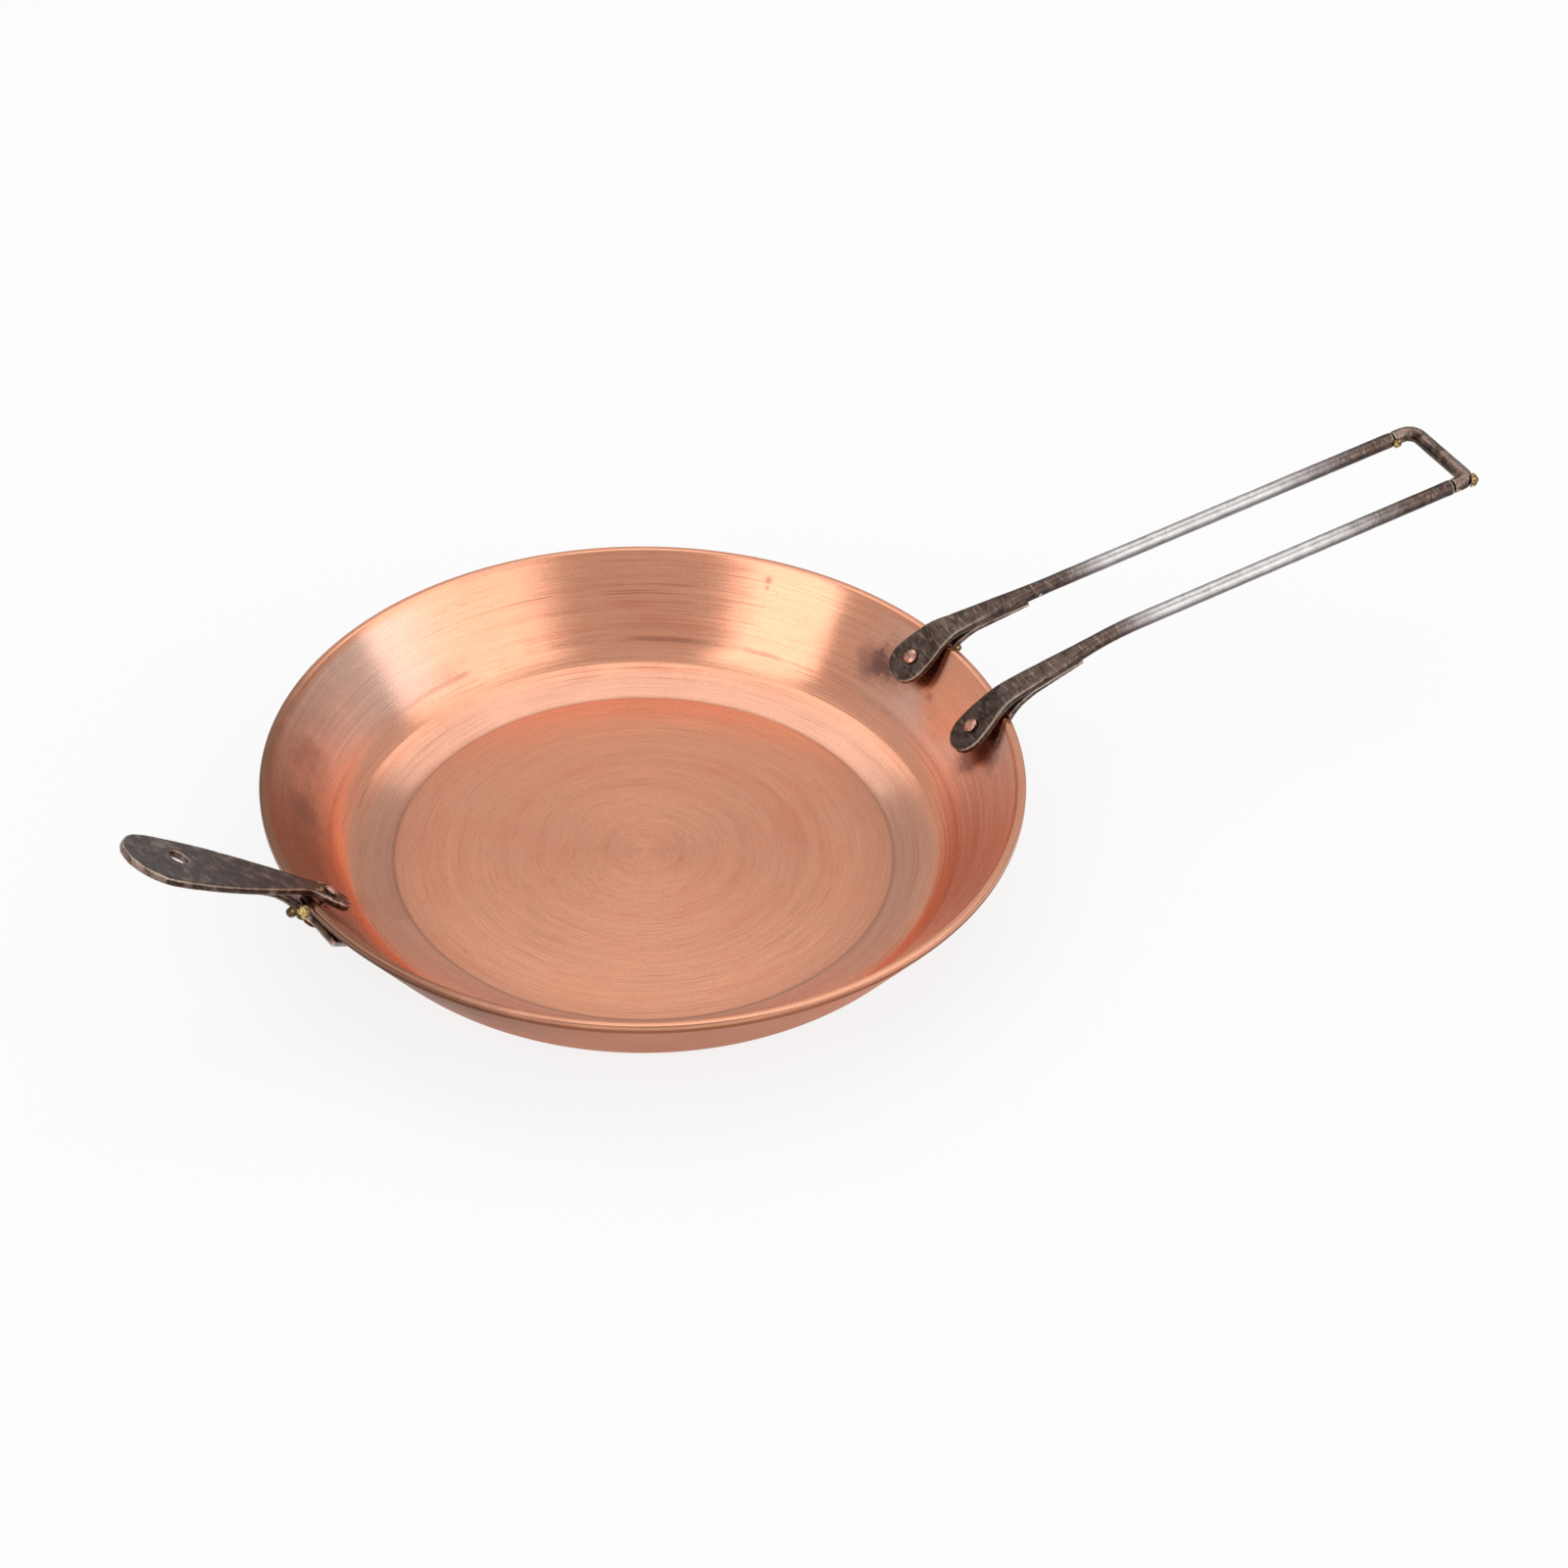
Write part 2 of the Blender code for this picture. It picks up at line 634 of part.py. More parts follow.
def main():
    for old in list(bpy.data.objects):
        bpy.data.objects.remove(old)
    parts = new_collection("frying_pan")
    cutters = new_collection("cutters")
    copper = new_material("copper", (0.74, 0.33, 0.22), 1.0, 0.34)
    iron = new_material("forged_iron", (0.11, 0.085, 0.08), 0.85, 0.5)
    brass = new_material("brass", (0.62, 0.40, 0.15), 1.0, 0.35)

    pan = make_pan(parts, copper)
    bow = Bow()
    bow_piece = bow.wire("handle_end_bow", bow.joint(1), bow.joint(-1), ROD_DIAMETER / 2.0, parts)
    bow_piece.data.materials.append(iron)

    for side, word in ((-1, "left"), (1, "right")):
        rod, seat = make_rod("handle_rod_" + word, side, bow, parts, iron)
        growth = (ROD_DIAMETER - LEAF_THICKNESS) / 2.0 / (seat.start - seat.fold).length
        route = seat.strap_route(growth, STRAP_TIP_THICKNESS, STRAP_REACH, STRAP_TAIL)
        strap = make_strap(
            "outer_strap_" + word, route, (STRAP_TIP, STRAP_NECK, STRAP_WIDTH, STRAP_WIDTH),
            (STRAP_TIP_THICKNESS, STRAP_THICKNESS), seat.azimuth, STRAP_REACH,
            (STRAP_REACH + STRAP_FOLD, route.total), parts, iron)
        make_rivet("rivet_" + word, seat, LEAF_THICKNESS, parts, copper)
        rivet_hole("hole_" + word, seat, (rod, pan, strap), cutters)
        bead_radius = RIM_RADIUS + GAP + STRAP_BEAD
        aside = (STRAP_NECK + STRAP_BEAD + GAP) / 2.0
        strap_azimuth = azimuth_of(route.place(STRAP_REACH))
        bead_azimuth = strap_azimuth - side * math.asin(aside / bead_radius)
        bead_place = radial(bead_azimuth) * bead_radius + UP * (PAN_HEIGHT - STRAP_BEAD)
        make_bead("braze_strap_" + word, [(bead_place, (STRAP_BEAD,) * 3)], parts, brass)

    helper_place = bpy.data.objects.new("helper_place", None)
    helper_place.rotation_euler.z = HELPER_TURN
    parts.objects.link(helper_place)
    tab, seat, route = make_helper(parts, iron)
    strap_route = seat.strap_route(0.0, STRAP_THICKNESS, HELPER_STRAP_REACH, HELPER_STRAP_TAIL)
    shoulder_at = seat.strap_rim_at + HELPER_SHOULDER_DROP
    strap = make_strap(
        "helper_outer_strap", strap_route,
        (HELPER_NECK, HELPER_STRAP_NECK, HELPER_STRAP_WIDTH, HELPER_STRAP_POINT),
        (STRAP_THICKNESS, STRAP_THICKNESS), seat.azimuth, HELPER_STRAP_REACH,
        (shoulder_at, shoulder_at + HELPER_SHOULDER), parts, iron)
    rivet = make_rivet("rivet_helper", seat, HELPER_THICKNESS, parts, copper)
    drilled = rivet_hole("hole_helper", seat, (tab, pan, strap), cutters)
    hole_place = route.place(route.total - HOLE_FROM_TIP) + Vector((0.0, HOLE_OFFSET, 0.0))
    plate_axis = route.heading(route.total).cross(Vector((0.0, 1.0, 0.0)))
    hanging_hole = cylinder_cutter("hanging_hole", hole_place, plate_axis, HOLE_DIAMETER / 2.0,
                                   4.0 * HELPER_THICKNESS, cutters)
    combine(tab, hanging_hole, "DIFFERENCE")

    clearance = bow.wire("bow_clearance", bow.joint(1) - bow.along * END_BEAD * 4.0,
                         bow.joint(-1) - bow.along * END_BEAD * 4.0,
                         ROD_DIAMETER / 2.0 + GAP, cutters)
    hide_cutter(clearance)
    inner = bow.joint(1) - Vector((0.0, ROD_DIAMETER / 2.0, 0.0))
    end_bead = make_bead("braze_end_right", [(inner, (END_BEAD,) * 3)], parts, brass)
    combine(end_bead, clearance, "DIFFERENCE")
    outer = bow.corners[-1] + Vector((BOW_CORNER / 4.0, -BOW_CORNER / 4.0, 0.0))
    end_bead = make_bead("braze_end_left", [(outer, (CORNER_BEAD,) * 3)], parts, brass)
    combine(end_bead, clearance, "DIFFERENCE")

    aside = HELPER_NECK / 2.0 + 2.0 * GAP + HELPER_BEAD
    drop_place = Vector((-RIM_RADIUS - GAP - HELPER_BEAD, -aside, PAN_HEIGHT + HELPER_BEAD_RISE))
    drops = [(drop_place, (HELPER_BEAD,) * 3)]
    drop_place = drop_place + Vector(SECOND_DROP_SHIFT) * HELPER_BEAD
    drops.append((drop_place, (HELPER_BEAD * SECOND_DROP,) * 3))
    helper_bead = make_bead("braze_helper", drops, parts, brass)
    for piece in (tab, strap, rivet, drilled, hanging_hole, helper_bead):
        piece.parent = helper_place

    print("wall slope", round(math.degrees(WALL_ANGLE), 1), "degrees")


main()
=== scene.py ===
# %% [markdown]
# # A small copper frying pan
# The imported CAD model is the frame: every piece below sits on it, in metres, with +X along the long
# handle and +Z up. It could be shown as it is with better materials, but its edges are plain. So this
# lesson turns a finer pan from the CAD pan's numbers, roughens copies of the forged iron pieces, and
# gives copper, iron and brass finishes that are all worked out in shader nodes.

# %% Load the frame
import math

import bmesh
import bpy
import numpy as np
from mathutils import Matrix, Vector, noise


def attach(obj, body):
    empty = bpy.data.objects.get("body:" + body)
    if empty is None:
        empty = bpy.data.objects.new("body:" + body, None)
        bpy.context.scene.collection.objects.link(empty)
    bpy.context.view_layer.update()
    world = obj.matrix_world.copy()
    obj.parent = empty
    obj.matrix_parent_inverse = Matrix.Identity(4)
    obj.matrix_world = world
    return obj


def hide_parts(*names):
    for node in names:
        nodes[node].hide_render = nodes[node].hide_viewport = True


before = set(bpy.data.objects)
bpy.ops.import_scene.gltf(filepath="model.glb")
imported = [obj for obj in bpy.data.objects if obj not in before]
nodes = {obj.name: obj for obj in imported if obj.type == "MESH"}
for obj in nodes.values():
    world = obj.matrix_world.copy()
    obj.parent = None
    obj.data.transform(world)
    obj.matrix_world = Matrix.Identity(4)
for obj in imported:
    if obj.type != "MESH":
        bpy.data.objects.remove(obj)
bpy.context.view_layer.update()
scene = bpy.context.scene
print("nodes", len(nodes))

# %% [markdown]
# ## Camera
# A long lens looks down at the pan from the helper's side. A Track To constraint could aim it, but
# that holds a camera level, and this one is rolled a little. A camera is also a matrix, whose columns
# are its right, its up and the direction back towards it, so these are worked out from two angles
# and a roll.

# %% Place the camera
AZIMUTH, ELEVATION, ROLL = (math.radians(angle) for angle in (-117.937, 38.964, 1.907))
DISTANCE = 0.67301
AIM_HEIGHT = 0.015
ASIDE, ABOVE = 0.027255, 0.002914
FOCAL_PIXELS = 3517.8
IMAGE_PIXELS = 1600.0
SENSOR_WIDTH = 36.0
UP = Vector((0.0, 0.0, 1.0))


def direction(azimuth, elevation):
    """Unit vector towards an azimuth and an elevation, both in radians."""
    flat = math.cos(elevation)
    return Vector((math.cos(azimuth) * flat, math.sin(azimuth) * flat, math.sin(elevation)))


towards = direction(AZIMUTH, ELEVATION)
level = (-towards).cross(UP).normalized()
upright = level.cross(-towards)
right = level * math.cos(ROLL) + upright * math.sin(ROLL)
above = upright * math.cos(ROLL) - level * math.sin(ROLL)
aim = UP * AIM_HEIGHT + right * ASIDE + above * ABOVE

lens = bpy.data.cameras.new("camera")
lens.sensor_width = SENSOR_WIDTH
lens.lens = FOCAL_PIXELS / IMAGE_PIXELS * SENSOR_WIDTH
lens.dof.use_dof = False
camera = bpy.data.objects.new("camera", lens)
turn = Matrix((right, above, towards)).transposed().to_4x4()
camera.matrix_world = Matrix.Translation(aim + towards * DISTANCE) @ turn
scene.collection.objects.link(camera)
scene.camera = camera
print("lens", round(lens.lens, 1), "mm")

# %% [markdown]
# ## Light
# Bare metal shows what stands round it, so the light is laid out for its reflections: an even grey
# world, a soft box on either side of the camera, and one high behind the pan. The darker gap between
# the two in front becomes the dark panel on the pan's far wall, and the box behind brightens the
# floor of the pan and the band round it. A picture of a studio could light it too, but boxes can be
# moved one at a time. The camera sees the world as white, which puts no more light on the object.

# %% Set the world
WORLD_LEVEL = 0.56
WHITE = (1.0, 1.0, 1.0, 1.0)

scene.view_settings.view_transform = "Standard"
world = bpy.data.worlds.new("studio")
scene.world = world
world.use_nodes = True
sky = world.node_tree.nodes["Background"]
sky.inputs["Color"].default_value = WHITE
seen_sky = world.node_tree.nodes.new("ShaderNodeMapRange")
seen_sky.inputs["To Min"].default_value = WORLD_LEVEL
seen_sky.inputs["To Max"].default_value = 1.0
ray = world.node_tree.nodes.new("ShaderNodeLightPath")
world.node_tree.links.new(ray.outputs["Is Camera Ray"], seen_sky.inputs["Value"])
world.node_tree.links.new(seen_sky.outputs["Result"], sky.inputs["Strength"])
print("world level", WORLD_LEVEL)

# %% Hang the soft boxes
BOX_DISTANCE = 1.6
# Each box's azimuth and elevation in degrees, its width and height in metres, and its radiance.
SOFT_BOXES = {
    "window_side": (-164.0, 34.0, 0.80, 1.7, 1.35),
    "room_side": (-49.0, 32.0, 1.56, 1.4, 1.0),
    "back_side": (62.0, 68.0, 2.0, 1.16, 0.85),
}


def pointed(place, axis):
    """A matrix at a place, with its Z along an axis."""
    return Matrix.Translation(place) @ axis.to_track_quat("Z", "Y").to_matrix().to_4x4()


def soft_box(name, azimuth, elevation, width, height, radiance):
    """An area lamp that faces the pan. Its energy grows with its face, so radiance sets its look."""
    lamp = bpy.data.lights.new(name, "AREA")
    lamp.shape = "RECTANGLE"
    lamp.size = width
    lamp.size_y = height
    lamp.energy = radiance * math.pi * width * height
    box = bpy.data.objects.new(name, lamp)
    out = direction(math.radians(azimuth), math.radians(elevation))
    box.matrix_world = pointed(out * BOX_DISTANCE, out)
    scene.collection.objects.link(box)
    print(name, round(lamp.energy, 1), "W")


for name, settings in SOFT_BOXES.items():
    soft_box(name, *settings)

# %% [markdown]
# ## Shader maths
# A finish could be built by hand as a web of nodes, but it is easier to read as arithmetic. `Value`
# wraps one socket, and signs such as + and * between values add the Math nodes. `Finish` holds a
# material, and its method `add` makes every node. `Metal` adds what all the bare metals here share.


# %% Wrap a socket so that arithmetic adds Math nodes
class Value:
    """A node's output. Where it is a number, it can be worked with like one."""

    def __init__(self, finish, socket):
        self.finish = finish
        self.socket = socket

    def math(self, operation, *others):
        """A Math node with this value in its first socket."""
        return self.finish.math(operation, self, *others)

    def __add__(self, other):
        return self.math("ADD", other)

    def __sub__(self, other):
        return self.math("SUBTRACT", other)

    def __rsub__(self, other):
        return self.finish.math("SUBTRACT", other, self)

    def __mul__(self, other):
        return self.math("MULTIPLY", other)

    def __truediv__(self, other):
        return self.math("DIVIDE", other)

    def __pow__(self, other):
        return self.math("POWER", other)

    def __abs__(self):
        return self.math("ABSOLUTE")

    __radd__ = __add__
    __rmul__ = __mul__

    def swing(self, width):
        """Noise from 0 to 1, moved to swing evenly about 0 and scaled to a width."""
        return (self - 0.5) * width

    def between(self, start, end):
        """0 on the side of start, 1 on the side of end and smooth between. start may be the larger."""
        low, high = sorted((start, end))
        ramp = {"interpolation_type": "SMOOTHSTEP"}
        sockets = {"Value": self, "From Min": low, "From Max": high}
        rising = self.finish.add("ShaderNodeMapRange", ramp, sockets)
        return rising if start < end else 1.0 - rising


# %% Make a material with one way to add nodes
class Finish:
    """A material that starts with no nodes."""

    def __init__(self, name):
        self.material = bpy.data.materials.new(name)
        self.material.use_nodes = True
        self.tree = self.material.node_tree
        self.tree.nodes.clear()

    def add(self, kind, settings=None, sockets=None, output=0):
        """One node of a type: its settings first, then values or links for its sockets."""
        node = self.tree.nodes.new(kind)
        for name, value in (settings or {}).items():
            setattr(node, name, value)
        for name, value in (sockets or {}).items():
            if isinstance(value, Value):
                self.tree.links.new(value.socket, node.inputs[name])
            else:
                node.inputs[name].default_value = value
        return Value(self, node.outputs[output])

    def math(self, operation, *values):
        """A Math node on values and numbers."""
        return self.add("ShaderNodeMath", {"operation": operation}, dict(enumerate(values)))

    def mix_shaders(self, first, second, share):
        """The first shader where the share is 0, and the second where it is 1."""
        return self.add("ShaderNodeMixShader", {}, {0: share, 1: first, 2: second})

    def complete(self, shader):
        """The material, with a shader as its surface."""
        output = self.tree.nodes.new("ShaderNodeOutputMaterial")
        self.tree.links.new(shader.socket, output.inputs["Surface"])
        return self.material


# %% Add what the bare metals share
# A Mix node has sockets for each kind of value. Its colours are at these places in its lists.
MIX_SHARE, MIX_FIRST, MIX_SECOND, MIX_RESULT = 0, 6, 7, 2


class Metal(Finish):
    """A bare metal, which knows each point's place on the object as x, y and z."""

    def __init__(self, name):
        super().__init__(name)
        self.place = self.add("ShaderNodeTexCoord", output="Object")
        self.x, self.y, self.z = (self.along(self.place, axis) for axis in "XYZ")

    def along(self, vector, axis):
        """The X, Y or Z of a vector."""
        return self.add("ShaderNodeSeparateXYZ", {}, {"Vector": vector}, axis)

    def geometry(self, output):
        """What the mesh tells of each point, such as its Normal or its Pointiness."""
        return self.add("ShaderNodeNewGeometry", output=output)

    def vector(self, x, y, z):
        return self.add("ShaderNodeCombineXYZ", {}, {"X": x, "Y": y, "Z": z})

    def vector_math(self, operation, sockets, output="Vector"):
        return self.add("ShaderNodeVectorMath", {"operation": operation}, sockets, output)

    def distance(self, point):
        """How far each place of the surface is from a point."""
        return self.vector_math("DISTANCE", {0: self.place, 1: point}, "Value")

    def noise(self, vector, scale, detail, rough, warp=0.0):
        """Cloudy noise from 0 to 1. scale is how many lumps fit in a metre."""
        sockets = {"Vector": vector, "Scale": scale, "Detail": detail, "Roughness": rough,
                   "Distortion": warp}
        return self.add("ShaderNodeTexNoise", {}, sockets)

    def mix(self, first, second, share):
        """The first colour where the share is 0, and the second where it is 1."""
        first, second = (color if isinstance(color, Value) else (*color, 1.0)
                         for color in (first, second))
        sockets = {MIX_SHARE: share, MIX_FIRST: first, MIX_SECOND: second}
        return self.add("ShaderNodeMix", {"data_type": "RGBA"}, sockets, MIX_RESULT)

    def layers(self, tint, *layers):
        """A colour with others laid over it in turn, each by its own share."""
        for color, share in layers:
            tint = self.mix(tint, color, share)
        return tint

    def shade(self, color, factor):
        """A colour made lighter or darker by a number."""
        return self.vector_math("SCALE", {0: color, "Scale": factor})

    def bump(self, height, depth):
        """A normal from a height between 0 and 1, which stands for a real depth."""
        sockets = {"Height": height, "Distance": depth, "Strength": 1.0}
        return self.add("ShaderNodeBump", {}, sockets, "Normal")

    def surface(self, tint, rough, normal, more=None):
        """A metal shader. more holds values for further sockets of it."""
        sockets = {"Base Color": tint, "Metallic": 1.0, "Roughness": rough, "Normal": normal}
        return self.add("ShaderNodeBsdfPrincipled", {}, {**sockets, **(more or {})})


# %% [markdown]
# ## Floor
# The pan stands on white paper that runs far past the frame. Paper that is only lit is brighter under
# the lamps than far from them, and more light would bleach the metal. So the camera and the mirror
# rays see it mostly as an even glow, and the rest of it is plain diffuse paper, which keeps the pan's
# shadow.

# %% Lay the floor
SHADOW_SHARE = 0.17
PAPER_WHITE = (0.95, 0.95, 0.95, 1.0)
FLOOR_REACH = 3.0


def paper_finish():
    """White paper that glows for the camera and in reflections."""
    paper = Finish("paper")
    diffuse = paper.add("ShaderNodeBsdfDiffuse", {}, {"Color": PAPER_WHITE})
    glow = paper.add("ShaderNodeEmission", {}, {"Color": WHITE, "Strength": 1.0})
    camera_ray, glossy_ray, clear_ray = (
        paper.add("ShaderNodeLightPath", output=kind)
        for kind in ("Is Camera Ray", "Is Glossy Ray", "Is Transmission Ray"))
    seen = (camera_ray + glossy_ray + clear_ray) * (1.0 - SHADOW_SHARE)
    return paper.complete(paper.mix_shaders(diffuse, glow, seen))


corners = [(x * FLOOR_REACH, y * FLOOR_REACH, 0.0) for x, y in ((-1, -1), (1, -1), (1, 1), (-1, 1))]
mesh = bpy.data.meshes.new("floor")
mesh.from_pydata(corners, [], [(0, 1, 2, 3)])
mesh.materials.append(paper_finish())
floor = bpy.data.objects.new("floor", mesh)
scene.collection.objects.link(floor)
print("floor", 2.0 * FLOOR_REACH, "m across")

# %% [markdown]
# ## Spun copper
# The pan is spun from sheet, and the polishing wheel leaves fine marks that run round it. They
# could be drawn on a picture that is wrapped round the pan, but noise stays sharp close up. Ordinary
# noise has lumps as long as they are wide. Here it is read in other coordinates, where a step round
# the pan counts for little and a step outward for much, and so its lumps become long marks. The
# finish keeps these noises and each point's place on the pan, for the colours that follow.

# %% Measure the pan and its marks
RIM_RADIUS = 0.074
PAN_FLOOR = 0.0493
PAN_HEIGHT = 0.0233
# A pair of edges runs from where something begins to show to where it is full.
FOOT_BAND = (PAN_FLOOR + 0.009, PAN_FLOOR + 0.004)
WALL_EDGE = (PAN_FLOOR - 0.0005, PAN_FLOOR + 0.0005)
FACING_DOWN = (0.05, -0.05)
# What a radian round the pan and a metre up count for in the noises, in metres.
RADIAN_STEP = 0.0006
RISE_STEP = 0.6
# How strongly the wheel's marks show on the pan's floor. On the wall it is 1.
FLOOR_MARKS = 0.45


class SpunCopper(Metal):
    """The pan's metal, with the places and the noises that its colours share."""

    def __init__(self):
        super().__init__("spun_copper")
        self.radius = (self.x ** 2.0 + self.y ** 2.0) ** 0.5
        self.outside = self.along(self.geometry("Normal"), "Z").between(*FACING_DOWN)
        self.on_wall = self.radius.between(*WALL_EDGE)
        self.foot = self.radius.between(*FOOT_BAND) * self.on_wall
        self.marked = FLOOR_MARKS + self.on_wall * (1.0 - FLOOR_MARKS)

        step_round = self.y.math("ARCTAN2", self.x) * RADIAN_STEP
        wheel = self.vector(self.radius, step_round, self.z * RISE_STEP)
        fine_wheel = self.vector(self.radius, step_round, self.z)
        self.broad = self.noise(wheel, scale=420.0, detail=2.0, rough=0.6)
        self.lines = self.noise(wheel, scale=2300.0, detail=2.0, rough=0.7)
        self.fine = self.noise(fine_wheel, scale=6500.0, detail=2.0, rough=0.7)
        self.clouds = self.noise(self.place, scale=48.0, detail=4.0, rough=0.6, warp=0.4)
        self.ragged = self.noise(self.place, scale=240.0, detail=4.0, rough=0.7)
        self.grain = self.noise(self.place, scale=2600.0, detail=2.0, rough=0.6)
        self.specks = self.noise(self.place, scale=900.0, detail=3.0, rough=0.7)


copper = SpunCopper()
print("nodes for the pan's places and noises", len(copper.tree.nodes))

# %% [markdown]
# ### Heat marks
# Brazing heats the copper, which turns brown and violet near the iron, and two small spots lie high on
# the wall. Such stains could be painted on the mesh. A few points are enough here: each is the middle
# of a stain, which fades over its radius, and noise makes its edge ragged.

# %% Stain the copper
STAIN_CORE = 0.25
# Each stain's x, y, z and radius in metres, and its strength.
STAINS = (
    (0.0655, -0.0150, 0.0150, 0.0075, 0.8),
    (0.0655, 0.0170, 0.0150, 0.0075, 0.8),
    (0.0620, 0.0215, 0.0140, 0.0060, 0.7),
    (0.0655, 0.0052, 0.0155, 0.0018, 0.8),
    (0.0638, 0.0020, 0.0135, 0.0018, 0.8),
    (0.0625, -0.0020, 0.0120, 0.0018, 0.8),
    (0.0660, -0.0225, 0.0165, 0.0045, 0.7),
    (-0.0660, -0.0120, 0.0150, 0.0080, 0.6),
    (-0.0620, 0.0250, 0.0130, 0.0080, 0.45),
    (-0.0560, 0.0400, 0.0150, 0.0060, 0.4),
    (0.0515, 0.0488, 0.0203, 0.0013, 0.6),
    (0.0508, 0.0481, 0.0190, 0.0009, 0.5),
)


def stained(copper):
    """How far each place is stained, from 0 to 1."""
    total = 0.0
    for x, y, z, radius, strength in STAINS:
        edge = copper.distance((x, y, z)) + copper.ragged.swing(radius)
        total = edge.between(radius, radius * STAIN_CORE) * strength + total
    return total.math("MINIMUM", 1.0)


heat = stained(copper)
print("stains", len(STAINS))

# %% [markdown]
# ### Scratches
# Some of the wheel's marks are darker scratches, and one broken dark ring runs round the wall. They
# could be modelled as grooves, but they are far finer than the mesh, so they are made with colour.
# Clouds break them up, so that none of them is whole.

# %% Scratch the copper
RING_RADIUS = 0.0615
RING_WAVER = 0.0004
RING_EDGE = (0.0005, 0.0001)
RING_CLOUDS = (0.4, 0.6)
SCRATCH_LINES = (0.57, 0.68)
SCRATCH_CLOUDS = (0.35, 0.55)


def scratches(copper):
    """Dark scratches and the dark ring, from 0 to 1."""
    lines = copper.lines.between(*SCRATCH_LINES) * copper.clouds.between(*SCRATCH_CLOUDS) * copper.marked
    off_ring = abs(copper.radius + copper.ragged.swing(RING_WAVER) - RING_RADIUS)
    return lines.math("MAXIMUM", off_ring.between(*RING_EDGE) * copper.clouds.between(*RING_CLOUDS))


scratched = scratches(copper)
print("dark ring", round(2000.0 * RING_RADIUS, 1), "mm across")

# %% [markdown]
# ### Copper colours
# The metal is clean copper with duller streaks, specks of tarnish and the heat marks. The wall is
# warmer between the handle's leaves. Light is painted in as well: a pale painted reflection on two
# opposite sides of the wall and in a band at its foot, a painted highlight on the rim, and painted
# shade that darkens the outside. One ramp of colours couldn't say all this, so each colour is a layer
# with its own mask, and the masks come from the pan's own radius, height and noises.

# %% Tint the copper
COPPER_CLEAN = (0.93, 0.43, 0.27)
COPPER_DULL = (0.80, 0.31, 0.19)
COPPER_DARK = (0.46, 0.19, 0.12)
COPPER_WARM = (0.98, 0.47, 0.30)
COPPER_PAINTED_REFLECTION = (0.90, 0.58, 0.46)
COPPER_OUTSIDE_SHADE = (0.50, 0.18, 0.09)
TARNISH = (0.27, 0.14, 0.12)

DULL_STREAKS = (-0.15, 0.55)
SPECK_EDGE = (0.66, 0.76)
# The walls to the left and right of the camera's view get a pale painted reflection below the rim.
REFLECTION_AXIS = (0.883, -0.469)
REFLECTION_WIDTH = (0.58, 0.88)
REFLECTION_RISE = (0.005, 0.011)
BELOW_RIM = (PAN_HEIGHT - 0.0004, PAN_HEIGHT - 0.0016)
RIM_HIGHLIGHT = (PAN_HEIGHT - 0.0004, PAN_HEIGHT - 0.0001)
WARM_MIDDLE = (0.0690, 0.0, 0.0180)
WARM_REACH = (0.0120, 0.0050)


def copper_tint(copper, heat, scratched):
    """Clean copper, with its other colours, painted reflections and painted shade laid over it."""
    wheel_marks = copper.broad.swing(1.6) + copper.lines.swing(1.7)
    streaks = wheel_marks * copper.marked + copper.clouds.swing(1.1)
    tarnished = (copper.specks.between(*SPECK_EDGE) * 0.55).math("MAXIMUM", heat)
    warm = copper.distance(WARM_MIDDLE).between(*WARM_REACH)
    sideways = abs((copper.x * REFLECTION_AXIS[0] + copper.y * REFLECTION_AXIS[1]) / copper.radius)
    below_rim = (1.0 - warm) * copper.z.between(*BELOW_RIM)
    painted_reflection = sideways.between(*REFLECTION_WIDTH) * below_rim * copper.z.between(*REFLECTION_RISE) * (1.0 - heat)
    return copper.layers(
        COPPER_CLEAN,
        (COPPER_DULL, streaks.between(*DULL_STREAKS)),
        (TARNISH, tarnished),
        (COPPER_DARK, scratched * 0.65),
        # Painted reflection: pale copper on two sides of the wall and in the band at its foot.
        (COPPER_PAINTED_REFLECTION, painted_reflection),
        (COPPER_PAINTED_REFLECTION, copper.foot * 0.35),
        (COPPER_WARM, warm * (1.0 - heat) * 0.6),
        # Painted highlight along the top of the rim.
        (COPPER_WARM, copper.z.between(*RIM_HIGHLIGHT) * 0.6),
        # Painted shade that darkens the outside of the pan.
        (COPPER_OUTSIDE_SHADE, copper.outside),
    )


tint = copper_tint(copper, heat, scratched)
print("nodes with the colours", len(copper.tree.nodes))

# %% [markdown]
# ### Copper shades
# Polishing leaves each mark a little lighter or darker. Some places get painted shade as well: the
# wall on the helper's side, the crease line round the floor with the metal on both sides of it, and
# the cut edge of the sheet. Lamps can't be aimed at such small places, so the colour itself is made
# darker there.

# %% Shade the copper
HELPER_SIDE = (-0.034, -0.066)
HELPER_WAVER = 0.012
HELPER_RISE = (0.0, 0.014)
CREASE_LINE = (0.0006, 0.0001)
BESIDE_CREASE = (PAN_FLOOR - 0.0070, PAN_FLOOR - 0.0005)
CUT_EDGE = (RIM_RADIUS - 0.00035, RIM_RADIUS - 0.0001)
CUT_RISE = (0.0212, 0.0216)


